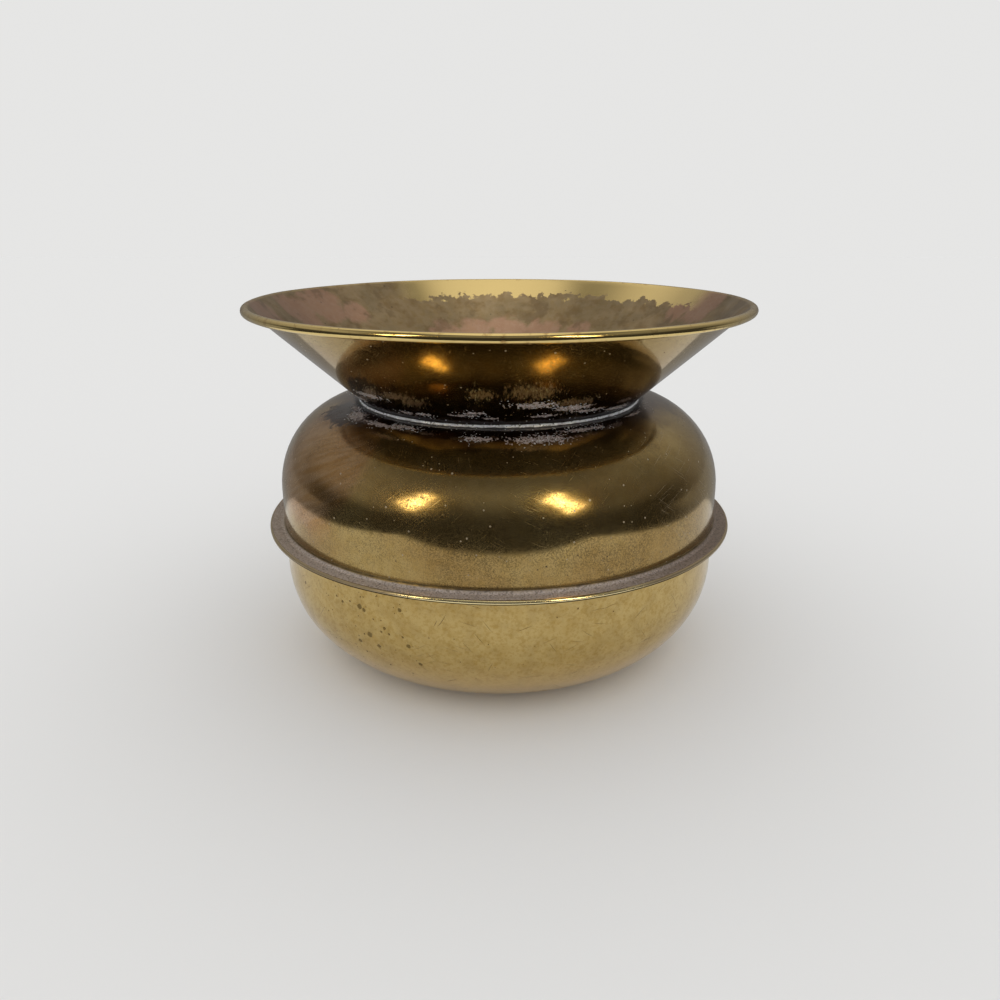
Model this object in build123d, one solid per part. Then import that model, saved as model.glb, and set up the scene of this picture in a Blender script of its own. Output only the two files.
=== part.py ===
from build123d import *
import os
from math import asin, atan2, cos, degrees, hypot, radians, sin

# Brass spittoon: three spun sheets, one rim wire and one ring of solder.
# Units are millimetres. +Z is up, and the origin is the middle of the base, on the surface it stands on.
# A sheet is drawn as the line of its outer face, from the mouth down, in radius and height.

# Sheet and wire
sheet = 0.45                 # thickness of the brass
wire_diameter = 1.6          # steel wire in the rolled rim
wire_seat = 0.01             # room between the wire and the roll closed on it

# Mouth funnel
mouth_radius = 76.0          # outside of the rolled rim
overall_height = 108.8       # top of the rolled rim
roll_open_turn = 58.0        # degrees that the roll stops short of the cone
spigot_radius = 42.4         # outside of the straight foot
spigot_length = 3.0          # how far the foot reaches below the top of the upper bowl
cone_foot_rise = 0.25        # the cone springs from the foot this far above the upper bowl
foot_bend_radius = 0.5       # bend between foot and cone, on the outside

# Neck joint
neck_clearance = 0.05        # between the foot of the funnel and the hole in the upper bowl
solder_leg = 1.2             # how far the solder runs out along both sheets
solder_hollow = 0.08         # how far its free face is hollowed

# Upper bowl
wall_step = 0.25             # how far its upright wall stands out past that of the lower bowl
upper_wall_height = 11.4     # upright wall from the top of the seam to the shoulder
crown_width = 0.7            # flat rim round the neck hole, at the top of the shoulder
upper_fillet_radius = 1.5    # between wall and flange, on the outside

# Crimped seam at the belly
seam_height = 41.8           # middle of the sheets in the seam
seam_sheets = 3              # upper flange, lower flange and fold
seam_width = 4.55            # how far it stands out from the wall of the upper bowl
fold_width = 2.8             # how far the folded edge reaches back under the lower flange
fold_end_clearance = 0.1     # between the edge of the lower flange and the bend of the fold
split_width = 0.25           # split in the edge of the fold
split_depth = 2.0            # how far it runs in from the edge
split_azimuth = -108.4       # its place round the seam, in degrees from +X

# Lower bowl
lower_wall_radius = 68.2     # outside of the upright wall
lower_fillet_radius = 1.0    # between wall and flange, on the outside
base_corner_radius = 30.0    # round corner from the wall to the base
base_ring_width = 5.0        # flat ring that the spittoon stands on
base_rise = 0.8              # height of the middle of the base, which is set up inside that ring

overrun = 1.0                # how far a cut runs past what it cuts

# Sizes that follow from the ones above
roll_inner_radius = wire_diameter / 2 + wire_seat
roll_radius = roll_inner_radius + sheet
wire_centre = Vector(mouth_radius - roll_radius, overall_height - roll_radius)
neck_hole_radius = spigot_radius + neck_clearance
upper_wall_radius = lower_wall_radius + wall_step
shoulder_radius = upper_wall_radius - neck_hole_radius - crown_width
bend_radius = seam_sheets * sheet / 2
flange_top = seam_height + bend_radius
seam_radius = upper_wall_radius + seam_width
bend_centre_radius = seam_radius - bend_radius
crown_height = flange_top + upper_wall_height + shoulder_radius
cone_foot = Vector(spigot_radius, crown_height + cone_foot_rise)

# The cone's outer face runs from its foot to the wire, which it meets as a tangent.
to_wire = wire_centre - cone_foot
cone_slope = degrees(atan2(to_wire.Y, to_wire.X) + asin(roll_inner_radius / hypot(to_wire.X, to_wire.Y)))


def strip(outer_face):
    """Section of a sheet: the line of its outer face, thickened to the right-hand side of the line."""
    return make_face(Wire(outer_face.edges()).offset_2d(sheet, kind=Kind.INTERSECTION, side=Side.RIGHT))


def spun(section):
    """Turn a section, drawn in radius and height, about the Z axis."""
    return revolve(Plane.XZ * section, Axis.Z)


def mouth_funnel():
    """Cone with a wired rim: the edge is rolled outward and under, round the wire, and stops short of the cone."""
    roll_start = 90 + cone_slope + roll_open_turn
    roll_turn = 360 - roll_open_turn
    roll = CenterArc(wire_centre, roll_inner_radius, roll_start, roll_turn)
    roll_outside = CenterArc(wire_centre, roll_radius, roll_start, roll_turn)
    ends = Line(roll @ 0, roll_outside @ 0) + Line(roll @ 1, roll_outside @ 1)
    foot_end = (spigot_radius, crown_height - spigot_length)
    cone_and_foot = FilletPolyline(roll @ 1, cone_foot, foot_end, radius=foot_bend_radius)
    return spun(make_face(roll + roll_outside + ends) + strip(cone_and_foot))


def rim_wire():
    """Ring of wire inside the rolled rim."""
    return Pos(0, 0, wire_centre.Y) * Torus(wire_centre.X, wire_diameter / 2)


def upper_bowl():
    """Shoulder, wall and flange, with the flange's edge bent down and under, and split at one place."""
    shell = FilletPolyline(
        (neck_hole_radius, crown_height),
        (upper_wall_radius, crown_height),
        (upper_wall_radius, flange_top),
        (bend_centre_radius, flange_top),
        radius=(shoulder_radius, upper_fillet_radius),
    )
    bend = CenterArc((bend_centre_radius, seam_height), bend_radius, 90, -180)
    fold = Line(bend @ 1, (seam_radius - fold_width, seam_height - bend_radius))
    bowl = spun(strip(shell + bend + fold))
    split = Box(
        split_depth + overrun,
        split_width,
        2 * (bend_radius + overrun),
        align=(Align.MIN, Align.CENTER, Align.CENTER),
    )
    return bowl - Rot(0, 0, split_azimuth) * Pos(seam_radius - split_depth, 0, seam_height) * split


def lower_bowl():
    """Flange held in the fold, wall, round corner, standing ring and a base set up inside the ring."""
    flange_underside = seam_height - sheet / 2
    ring_inner_radius = lower_wall_radius - base_corner_radius - base_ring_width
    shell = FilletPolyline(
        (bend_centre_radius - fold_end_clearance, flange_underside),
        (lower_wall_radius, flange_underside),
        (lower_wall_radius, 0),
        (ring_inner_radius, 0),
        radius=(lower_fillet_radius, base_corner_radius),
    )
    dome_radius = (ring_inner_radius**2 + base_rise**2) / (2 * base_rise)
    dome = RadiusArc((ring_inner_radius, 0), (0, base_rise), -dome_radius)
    return spun(strip(shell + dome))


def neck_solder(funnel, bowl):
    """Fillet of solder in the groove round the neck, run in against both sheets."""
    along_cone = Vector(cos(radians(cone_slope)), sin(radians(cone_slope)))
    into_cone = Vector(-along_cone.Y, along_cone.X) * (sheet / 2)
    into_crown = Vector(0, -sheet / 2)
    toe = Vector(neck_hole_radius + solder_leg, crown_height)
    heel = cone_foot + along_cone * solder_leg
    free_face = SagittaArc(toe, heel, solder_hollow)
    backing = Polyline(
        heel,
        heel + into_cone,
        Vector(neck_hole_radius, cone_foot.Y + sheet / 2),
        Vector(neck_hole_radius, crown_height) + into_crown,
        toe + into_crown,
        toe,
    )
    return spun(make_face(free_face + backing)) - funnel - bowl


funnel = mouth_funnel()
bowl = upper_bowl()
nodes = {
    "mouth_funnel": funnel,
    "rim_wire": rim_wire(),
    "neck_solder": neck_solder(funnel, bowl),
    "upper_bowl": bowl,
    "lower_bowl": lower_bowl(),
}

os.makedirs("parts", exist_ok=True)
for name, shape in nodes.items():
    export_step(shape, f"parts/{name}.step")
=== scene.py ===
import bpy
from math import asin, atan2, cos, pi, radians, sin, tan
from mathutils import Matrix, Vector


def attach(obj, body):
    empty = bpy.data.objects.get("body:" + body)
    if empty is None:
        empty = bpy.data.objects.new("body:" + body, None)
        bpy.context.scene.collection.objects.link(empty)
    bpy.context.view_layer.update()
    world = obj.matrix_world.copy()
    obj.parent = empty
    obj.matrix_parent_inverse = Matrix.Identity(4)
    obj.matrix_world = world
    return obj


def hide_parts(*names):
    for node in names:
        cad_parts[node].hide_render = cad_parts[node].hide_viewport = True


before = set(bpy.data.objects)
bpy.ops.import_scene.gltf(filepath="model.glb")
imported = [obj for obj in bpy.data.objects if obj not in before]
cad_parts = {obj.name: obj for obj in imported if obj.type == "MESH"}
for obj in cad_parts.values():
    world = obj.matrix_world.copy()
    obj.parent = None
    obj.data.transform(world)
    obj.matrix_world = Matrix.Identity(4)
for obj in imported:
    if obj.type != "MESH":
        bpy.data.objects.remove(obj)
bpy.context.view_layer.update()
mm = 0.001

# Lower bowl
# One disc of sheet brass, spun over a former: upright wall, large round bottom corner, and a base set up in a
# flat ring. The folded edge of the upper bowl grips its flange. Tarnish has eaten spots into its polish.
sheet = 0.45 * mm
seam_height = 41.8 * mm
lower_wall_radius = 68.2 * mm
lower_fillet_radius = 1.0 * mm
base_corner_radius = 30.0 * mm
base_ring_width = 5.0 * mm
base_rise = 0.8 * mm
wall_step = 0.25 * mm
seam_width = 4.55 * mm
seam_thickness = 3 * sheet
fold_end_clearance = 0.1 * mm
bend_centre_radius = lower_wall_radius + wall_step + seam_width - seam_thickness / 2

spin_steps = 288
arc_step = radians(5)
dome_steps = 12
longest_run = 1.5 * mm
micron = 0.001 * mm
path_radius = 10 * mm
sharp_turn = radians(50)
polish_unevenness = 0.5 * mm
drift_per_metre = 21.0
steady_foot = 12 * mm


def arc_points(centre, radius, start, turn, step=arc_step):
    """Points round part of a circle, from one angle through a turn."""
    count = max(2, round(abs(turn) / step))
    angles = [start + turn * i / count for i in range(count + 1)]
    return [Vector((centre[0] + radius * cos(a), centre[1] + radius * sin(a))) for a in angles]


def rounded_line(corners, bends):
    """A line through corners, given as radius and height, with each bend rounded."""
    corners = [Vector(c) for c in corners]
    line = [corners[0]]
    for before, corner, after, bend in zip(corners, corners[1:], corners[2:], bends):
        into = (corner - before).normalized()
        away = (after - corner).normalized()
        turn = atan2(into.x * away.y - into.y * away.x, into.dot(away))
        side = 1 if turn > 0 else -1
        start = corner - into * bend * tan(abs(turn) / 2)
        centre = start + Vector((-into.y, into.x)) * side * bend
        line += arc_points(centre, bend, atan2(start.y - centre.y, start.x - centre.x), turn)
    return line + [corners[-1]]


def in_short_runs(line):
    """The same line with straight runs cut into short ones, and doubled points left out."""
    result = [line[0]]
    for point in line[1:]:
        start = result[-1]
        run = point - start
        if run.length < micron / 10:
            continue
        count = max(1, round(run.length / longest_run))
        result += [start + run * (i + 1) / count for i in range(count)]
    return result


def lengths_along(line):
    """How far each point of a line lies along it."""
    total = [0.0]
    for before, after in zip(line, line[1:]):
        total.append(total[-1] + (after - before).length)
    return total


def sheet_section(face_line):
    """Closed section of a sheet from the line of its outer face, with two marks for each point."""
    line = in_short_runs(face_line)
    inner = []
    for i, point in enumerate(line):
        before = (point - line[i - 1]).normalized() if i else None
        after = (line[i + 1] - point).normalized() if i + 1 < len(line) else None
        along = (before + after).normalized() if before and after else (before or after)
        spread = along.dot(after or before)
        inner.append(point + Vector((along.y, -along.x)) * sheet / spread)
    if line[-1].x < micron:
        inner[-1].x = 0
    along = lengths_along(line)
    marks = {"inner_face": [0.0] * len(line) + [1.0] * len(inner), "along": along + along[::-1]}
    return line + inner[::-1], marks


def make_node(tree, kind, inputs=None, **settings):
    """Add a node of a kind, with its inputs and settings."""
    made = tree.nodes.new(kind)
    for name, value in settings.items():
        setattr(made, name, value)
    set_inputs(tree, made, inputs or {})
    return made


def set_inputs(tree, made, inputs):
    """Set each input of a node to a value, or link the socket that feeds it."""
    for key, value in inputs.items():
        if isinstance(value, bpy.types.NodeSocket):
            tree.links.new(value, made.inputs[key])
        else:
            made.inputs[key].default_value = value


def shape(tree, kind, inputs=None, **settings):
    """Add a geometry node and give its first output."""
    return make_node(tree, "GeometryNode" + kind, inputs, **settings).outputs[0]


def feed(tree, kind, inputs=None, out=0, **settings):
    """Add a shading or maths node and give its first output, or the one named."""
    return make_node(tree, "ShaderNode" + kind, inputs, **settings).outputs[out]


def calculate(tree, kind, *values):
    return feed(tree, "Math", dict(enumerate(values)), operation=kind)


def calculate_vector(tree, kind, *values, out=0):
    return feed(tree, "VectorMath", dict(enumerate(values)), out, operation=kind)


def combined(tree, *parts):
    return feed(tree, "CombineXYZ", dict(enumerate(parts)))


def parted(tree, vector):
    return make_node(tree, "ShaderNodeSeparateXYZ", {0: vector}).outputs


def scaled(tree, vector, scale):
    return feed(tree, "VectorMath", {0: vector, "Scale": scale}, operation="SCALE")


def smooth_step(tree, value, low, high, to_low=0.0, to_high=1.0):
    """Smooth step of a value from low to high."""
    inputs = {"Value": value, "From Min": low, "From Max": high, "To Min": to_low, "To Max": to_high}
    return feed(tree, "MapRange", inputs, interpolation_type="SMOOTHSTEP")


def new_tree(name, sockets):
    """A Geometry Nodes tree whose inputs are the section and those given with their types."""
    tree = bpy.data.node_groups.new(name, "GeometryNodeTree")
    tree.interface.new_socket("Section", in_out="INPUT", socket_type="NodeSocketGeometry")
    for label, kind in sockets.items():
        tree.interface.new_socket(label, in_out="INPUT", socket_type="NodeSocket" + kind)
    tree.interface.new_socket("Piece", in_out="OUTPUT", socket_type="NodeSocketGeometry")
    return tree, tree.nodes.new("NodeGroupInput").outputs


def spin(tree, section, steps_round):
    """Turn a section about the axis."""
    path = shape(tree, "CurvePrimitiveCircle", {"Resolution": steps_round, "Radius": path_radius})
    upright = shape(tree, "SetCurveNormal", {"Curve": path}, mode="Z_UP")
    back = shape(tree, "Transform", {"Geometry": section, "Translation": (-path_radius, 0, 0)})
    curve = shape(tree, "MeshToCurve", {"Mesh": back})
    spun = shape(tree, "CurveToMesh", {"Curve": upright, "Profile Curve": curve})
    return shape(tree, "MergeByDistance", {"Geometry": spun, "Distance": micron})


def uneven(tree, geometry):
    """Move points by a smooth drift that all sheets share, and none at the foot."""
    place = shape(tree, "InputPosition")
    drift = feed(tree, "TexNoise", {"Vector": place, "Scale": drift_per_metre, "Detail": 1.0}, "Color")
    centred = calculate_vector(tree, "SUBTRACT", drift, (0.5, 0.5, 0.5))
    height = parted(tree, place)["Z"]
    hold = smooth_step(tree, height, 0.0, steady_foot)
    offset = scaled(tree, centred, calculate(tree, "MULTIPLY", hold, polish_unevenness))
    return shape(tree, "SetPosition", {"Geometry": geometry, "Offset": offset})


def finish_piece(tree, geometry, outer, inner=None):
    """End a tree: smooth but for sharp edges, with a finish for the outer face and the inner."""
    smooth = shape(tree, "SetShadeSmooth", {"Geometry": geometry})
    sharp = calculate(tree, "GREATER_THAN", shape(tree, "InputMeshEdgeAngle"), sharp_turn)
    inputs = {"Geometry": smooth, "Selection": sharp, "Shade Smooth": False}
    creased = shape(tree, "SetShadeSmooth", inputs, domain="EDGE")
    real = shape(tree, "RealizeInstances", {"Geometry": creased})
    dressed = shape(tree, "SetMaterial", {"Geometry": real, "Material": outer})
    if inner:
        inside = shape(tree, "InputNamedAttribute", {"Name": "inner_face"}, data_type="FLOAT")
        picked = calculate(tree, "GREATER_THAN", inside, 0.5)
        inputs = {"Geometry": dressed, "Selection": picked, "Material": inner}
        dressed = shape(tree, "SetMaterial", inputs)
    tree.links.new(dressed, tree.nodes.new("NodeGroupOutput").inputs[0])


def spinning_tree():
    """Spin a section about the axis, as on a lathe, and cut a split where one is given."""
    tree, given = new_tree("spin_sheet", {
        "Split place": "Vector",
        "Split size": "Vector",
        "Split turn": "Float",
        "Outer finish": "Material",
        "Inner finish": "Material",
    })
    closed = spin(tree, given["Section"], spin_steps)
    cutter = shape(tree, "MeshCube", {"Size": given["Split size"]})
    turn = combined(tree, 0.0, 0.0, given["Split turn"])
    inputs = {"Geometry": cutter, "Translation": given["Split place"], "Rotation": turn}
    placed = shape(tree, "Transform", inputs)
    inputs = {"Mesh 1": closed, "Mesh 2": placed}
    cut = shape(tree, "MeshBoolean", inputs, operation="DIFFERENCE", solver="EXACT")
    finish_piece(tree, uneven(tree, cut), given["Outer finish"], given["Inner finish"])
    return tree


def grown(name, points, tree, values, marks, loop=True):
    """Run a tree on a section of radius and height, and keep the result as a plain mesh piece."""
    section = bpy.data.meshes.new(name + "_section")
    edges = [(i, i + 1) for i in range(len(points) - 1)] + ([(len(points) - 1, 0)] if loop else [])
    section.from_pydata([(p.x, -p.y, 0) for p in points], edges, [])
    for label, numbers in marks.items():
        section.attributes.new(label, "FLOAT", "POINT").data.foreach_set("value", numbers)
    piece = bpy.data.objects.new(name, section)
    bpy.context.scene.collection.objects.link(piece)
    modifier = piece.modifiers.new("grow", "NODES")
    modifier.node_group = tree
    for socket in tree.interface.items_tree:
        if socket.in_out == "INPUT" and socket.name in values:
            modifier[socket.identifier] = values[socket.name]
    graph = bpy.context.evaluated_depsgraph_get()
    mesh = bpy.data.meshes.new_from_object(piece.evaluated_get(graph), depsgraph=graph)
    piece.modifiers.remove(modifier)
    piece.data = mesh
    mesh.name = name
    bpy.data.meshes.remove(section)
    return piece


girth_radius = 60 * mm
noise_spread_share = 0.42
seed_step = 0.1
speck_size_share = 0.35
speck_edge_shares = (0.75, 1.1)
speck_hollow_shares = (0.1, 0.6)
scratch_bend = 3 * mm
scratch_bend_run = 12 * mm
scratch_edge_shares = (0.03, 0.09)
scratch_widths_apart = 6
patch_edge_shares = (0.7, 1.05)
stroke_bend = 2 * mm
stroke_bend_run = 6 * mm
stroke_edge_shares = (0.5, 1.0)


class Finish:
    """A surface laid up in coats: bare metal, then each film, stain and mark where its mask says."""

    def __init__(self, name, colour, roughness, metallic=1.0):
        self.material = bpy.data.materials.new(name)
        self.material.use_nodes = True
        self.tree = self.material.node_tree
        self.shader = self.tree.nodes["Principled BSDF"]
        self.place = feed(self.tree, "TexCoord", out="Object")
        self.across, self.depth, self.height = parted(self.tree, self.place)
        self.flat = combined(self.tree, self.across, self.depth)
        self.radius = self.vector("LENGTH", self.flat, out="Value")
        self.turned = self.maths("ARCTAN2", self.across, self.maths("MULTIPLY", self.depth, -1.0))
        self.along = feed(self.tree, "Attribute", out="Fac", attribute_name="along")
        self.girth = self.maths("MULTIPLY", self.turned, girth_radius)
        self.wrapped = combined(self.tree, self.girth, self.along)
        self.coats = {"Base Color": (*colour, 1), "Roughness": roughness, "Metallic": metallic}
        self.coats["Specular IOR Level"] = 0.5
        self.relief = 0.0

    def maths(self, kind, a, b=0.0):
        return calculate(self.tree, kind, a, b)

    def vector(self, kind, a, b=(0, 0, 0), out=0):
        return calculate_vector(self.tree, kind, a, b, out=out)

    def mapped(self, vector, location=(0, 0, 0), slant=0.0, scale=(1, 1, 1)):
        """Places measured from a location, at a slant, in lengths of the scale."""
        inputs = {"Vector": vector, "Location": location, "Rotation": (0, 0, slant), "Scale": scale}
        return feed(self.tree, "Mapping", inputs, vector_type="TEXTURE")

    def ramp(self, value, low, high, to_low=0.0, to_high=1.0):
        return smooth_step(self.tree, value, low, high, to_low, to_high)

    def fall(self, value, low, high):
        """Smooth step down from 1 at low to 0 at high."""
        return self.ramp(value, low, high, 1.0, 0.0)

    def beyond(self, value, place, low, high):
        """Smooth step up, between two distances beyond a place."""
        return self.ramp(value, place + low, place + high)

    def cloud(self, size, seed=0.0, detail=4.0, rough=0.55, drawn=1.0, slant=0.0):
        """Variation from 0 to 1 in patches of a size, or drawn out longer at a slant."""
        where = self.place if drawn == 1.0 else self.mapped(self.wrapped, slant=slant, scale=(drawn, 1, 1))
        inputs = {"Vector": where, "W": seed, "Scale": 1 / size, "Detail": detail, "Roughness": rough}
        return feed(self.tree, "TexNoise", inputs, noise_dimensions="4D")

    def streaks(self, size, drawn):
        """Variation drawn out round the axis, as spinning and polishing leave it."""
        path = scaled(self.tree, self.vector("NORMALIZE", self.flat), girth_radius / drawn)
        where = self.vector("ADD", path, combined(self.tree, 0.0, 0.0, self.along))
        inputs = {"Vector": where, "W": 0.0, "Scale": 1 / size, "Detail": 3.0}
        return feed(self.tree, "TexNoise", inputs, noise_dimensions="4D")

    def cover(self, variation, share, edge=0.06):
        """Mask where a variation is high, over about the given share of the surface."""
        middle = 0.5 + (0.5 - share) * noise_spread_share
        return self.ramp(variation, middle - edge / 2, middle + edge / 2)

    def patches(self, size, share, edge=0.06, seed=0.0, detail=4.0):
        return self.cover(self.cloud(size, seed, detail), share, edge)

    def specks(self, cell, reach, share, seed=0.0, hollow=0.0):
        """Mask of round spots up to the reach in radius, in a share of the cells."""
        where = self.vector("ADD", self.place, (seed * seed_step, seed * seed_step * 2, 0))
        found = make_node(self.tree, "ShaderNodeTexVoronoi", {"Vector": where, "Scale": 1 / cell}).outputs
        draw = parted(self.tree, found["Color"])
        limit = self.ramp(draw[1], 0.0, 1.0, speck_size_share * reach / cell, reach / cell)
        distance = self.maths("DIVIDE", found["Distance"], limit)
        spot = self.fall(distance, *speck_edge_shares)
        if hollow:
            spot = self.both(spot, self.ramp(distance, *speck_hollow_shares, 1.0 - hollow, 1.0))
        return self.both(spot, self.maths("LESS_THAN", draw[0], share))

    def scratches(self, length, width, share, slant, seed=0.0):
        """Mask of fine scratches at a slant to the rings, in a share of the cells."""
        drift = self.cloud(scratch_bend_run, seed=seed, detail=1.0)
        bent = self.vector("ADD", self.wrapped, self.vector("MULTIPLY", drift, (0, scratch_bend, 0)))
        where = self.mapped(bent, (seed * seed_step, 0, 0), slant, (length / width, 1, 1))
        inputs = {"Vector": where, "Scale": 1 / (scratch_widths_apart * width)}
        found = make_node(self.tree, "ShaderNodeTexVoronoi", inputs, voronoi_dimensions="2D").outputs
        draw = parted(self.tree, found["Color"])[0]
        line = self.fall(found["Distance"], *scratch_edge_shares)
        return self.both(line, self.maths("LESS_THAN", draw, share))

    def between(self, value, low, high, soft, place=0.0):
        """Mask of a band from low to high beyond a place, soft at each side."""
        low, high = place + low, place + high
        return self.both(self.ramp(value, low - soft, low + soft), self.fall(value, high - soft, high + soft))

    def near(self, spots, size, ragged=0.5, seed=3.0):
        """Mask of ragged patches, each given by its place and reach in millimetres."""
        wander = self.maths("MULTIPLY", self.maths("SUBTRACT", self.cloud(size, seed=seed), 0.5), 2 * ragged)
        mask = 0.0
        for spot, reach in spots:
            distance = self.vector("DISTANCE", self.place, Vector(spot) * mm, out="Value")
            share = self.maths("ADD", self.maths("DIVIDE", distance, reach * mm), wander)
            mask = self.maths("MAXIMUM", mask, self.fall(share, *patch_edge_shares))
        return mask

    def strokes(self, marks):
        """Mask of single scratches, given by turn, height, half length, half width and slant."""
        bend = self.maths("MULTIPLY", self.cloud(stroke_bend_run, seed=5.0, detail=1.0), stroke_bend)
        level = combined(self.tree, self.girth, self.maths("ADD", self.height, bend))
        mask = 0.0
        for turn, height, half_length, half_width, slant in marks:
            middle = (radians(turn) * girth_radius, height * mm, 0)
            where = self.mapped(level, middle, radians(slant), (half_length * mm, half_width * mm, 1))
            line = self.fall(self.vector("LENGTH", where, out="Value"), *stroke_edge_shares)
            mask = self.maths("MAXIMUM", mask, line)
        return mask

    def both(self, *masks):
        """Mask where every mask given is 1."""
        result = masks[0]
        for mask in masks[1:]:
            result = self.maths("MULTIPLY", result, mask)
        return result

    def joined(self, mask):
        return self.both(*mask) if isinstance(mask, tuple) else mask

    def lay(self, mask, colour=None, roughness=None, metallic=None, share=1.0, gloss=None):
        """Lay a coat, or a share of one, where every mask given is 1."""
        mask = self.joined(mask)
        mask = mask if share == 1.0 else self.both(mask, share)
        if colour is not None:
            inputs = {0: mask, 6: self.coats["Base Color"], 7: (*colour, 1)}
            self.coats["Base Color"] = feed(self.tree, "Mix", inputs, 2, data_type="RGBA")
        for name, value in (("Roughness", roughness), ("Metallic", metallic), ("Specular IOR Level", gloss)):
            if value is not None:
                inputs = {0: mask, 2: self.coats[name], 3: value}
                self.coats[name] = feed(self.tree, "Mix", inputs, data_type="FLOAT")

    def stain(self, mask, tint, roughness=None):
        """Tint what is there by a thin film where every mask given is 1."""
        mask = self.joined(mask)
        inputs = {0: mask, 6: self.coats["Base Color"], 7: (*tint, 1)}
        stained = feed(self.tree, "Mix", inputs, 2, data_type="RGBA", blend_type="MULTIPLY")
        self.coats["Base Color"] = stained
        self.lay(mask, roughness=roughness)

    def raise_by(self, mask, height):
        """Raise the surface by a height where the mask is 1."""
        self.relief = self.maths("ADD", self.both(mask, height / mm), self.relief)

    def done(self):
        """Wire the coats to the shader."""
        if self.relief:
            inputs = {"Height": self.relief, "Distance": mm, "Strength": 1.0}
            self.coats["Normal"] = feed(self.tree, "Bump", inputs)
        set_inputs(self.tree, self.shader, self.coats)
        return self.material


polish_cloud = (24 * mm, 1.0, 2.0)
polish_mottle = (2.4 * mm, 0.45, 0.25, 2.0)
dull_patch = (9 * mm, 0.5, 0.3)
dull_share = 1.4
ripple = (11 * mm, 0.0, 1.5)
ripple_height = 0.022 * mm
ring_width = 0.7 * mm
ring_height = 0.0007 * mm
rings_drawn = 120
ringed_radii = (10 * mm, 30 * mm)
rubs = (6 * mm, 0.1 * mm, 0.3)
rub_depth = 0.002 * mm
haze_cloud = 16 * mm
haze_grain = 0.34 * mm
dust_specks = (1.9 * mm, 0.30 * mm, 0.30)
dust = (0.42, 0.38, 0.33)
dirt_specks = (2.6 * mm, 0.28 * mm, 0.30)
# A dark dirt colour, also used for the painted shade in the flange's crease.
dirt_and_shade = (0.045, 0.032, 0.020)


def spun_brass(name, colour, roughness):
    """Bare spun brass: cloudy polish, tool and wheel rings, rubbed scratches and a faint ripple."""
    metal = Finish(name, colour, roughness)
    metal.stain(metal.cloud(*polish_cloud), (0.84, 0.81, 0.74))
    metal.stain(metal.patches(*polish_mottle), (0.93, 0.90, 0.82))
    metal.lay(metal.patches(*dull_patch), roughness=roughness * dull_share)
    metal.raise_by(metal.cloud(*ripple), ripple_height)
    off_axis = metal.ramp(metal.radius, *ringed_radii)
    metal.raise_by(metal.both(metal.streaks(ring_width, rings_drawn), off_axis), ring_height)
    for seed, slant in enumerate((0.5, -0.8, 1.3), 1):
        rubbed = metal.both(metal.scratches(*rubs, slant, seed), off_axis)
        metal.lay(rubbed, roughness=0.4, share=0.5)
        metal.raise_by(rubbed, -rub_depth)
    return metal


def hazed(metal, share, seed):
    """A dull film of fine specks on the polish, with pale dust and dark pits in it."""
    thick = metal.ramp(metal.cloud(haze_cloud, seed=seed, detail=3.0), 0.25, 0.75, 0.15, 0.85)
    film = metal.both(metal.patches(haze_grain, share, edge=0.4, seed=seed), thick)
    metal.lay(film, (0.05, 0.038, 0.022), 0.40, 0.75, gloss=0.2)
    metal.lay(metal.specks(*dust_specks, seed), dust, 0.7, 0.0, share=0.55)
    metal.lay(metal.specks(*dirt_specks, seed + 1), dirt_and_shade, 0.6, 0.4, share=0.8)


# Its marks: patches by size, share, edge and seed, pits by cell, reach, share and seed, and fine cuts by
# length, width and share.
fine_mottle = (0.9 * mm, 0.4, 0.12, 3.0)
blotch = (5 * mm, 0.4, 0.2, 9.0)
# Heights and cloud of the painted light and reflection at the foot.
foot_light_heights = (4 * mm, 22 * mm)
foot_light_cloud = (14 * mm, 4.0)
pitted_patch = (15 * mm, 0.5, 0.2, 6.0)
pits_all_over = (
    (6.0 * mm, 0.55 * mm, 0.5, 7.0), (2.6 * mm, 0.30 * mm, 0.5, 8.0), (4.0 * mm, 0.36 * mm, 0.5, 10.0),
)
pits_at_left = ((2.2 * mm, 0.34 * mm, 0.8, 24.0), (1.6 * mm, 0.24 * mm, 0.8, 25.0))
pitted_left = (((-36, -56, 27), 22),)
pitted_left_edge = 8 * mm
single_pits = (
    ((-37.6, -56.9, 33.2), 0.9), ((-36.4, -57.7, 32.6), 0.7), ((-26.1, -63.0, 35.1), 0.6),
    ((-35.1, -58.0, 25.4), 1.0), ((-38.2, -55.2, 22.1), 0.7), ((-32.7, -58.9, 22.2), 0.8),
    ((-30.6, -60.9, 28.7), 0.5), ((-24.1, -63.3, 24.6), 0.7), ((-25.6, -63.1, 27.2), 0.4),
    ((-21.1, -62.5, 18.8), 0.7), ((-42.9, -53.0, 32.9), 0.5), ((-44.7, -51.5, 33.9), 0.4),
    ((-31.6, -60.3, 27.4), 0.4), ((-29.4, -61.4, 27.2), 0.4), ((-12.2, -66.2, 26.4), 0.5),
)
single_pit_edge = 0.8 * mm
single_pit_depth = 0.02 * mm
fine_cuts = (5 * mm, 0.16 * mm, 0.14)
cut_depth = 0.006 * mm
single_scratches = (
    (-12.6, 35.0, 2.6, 0.10, 62), (-14.0, 34.2, 1.3, 0.10, 70), (5.7, 33.3, 2.2, 0.09, 20),
    (7.7, 17.2, 3.6, 0.07, 2), (33.9, 32.0, 2.8, 0.08, 35), (20.0, 30.0, 2.4, 0.07, -40),
    (24.0, 36.5, 4.5, 0.07, 4), (-2.0, 21.0, 1.8, 0.08, 70), (12.0, 27.0, 2.0, 0.07, -60),
    (38.0, 22.0, 3.0, 0.07, 15), (-48.0, 27.0, 3.0, 0.08, 50), (-22.0, 15.0, 2.5, 0.07, -20),
)
single_scratch_depth = 0.01 * mm
lining_patch = 12 * mm


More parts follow.
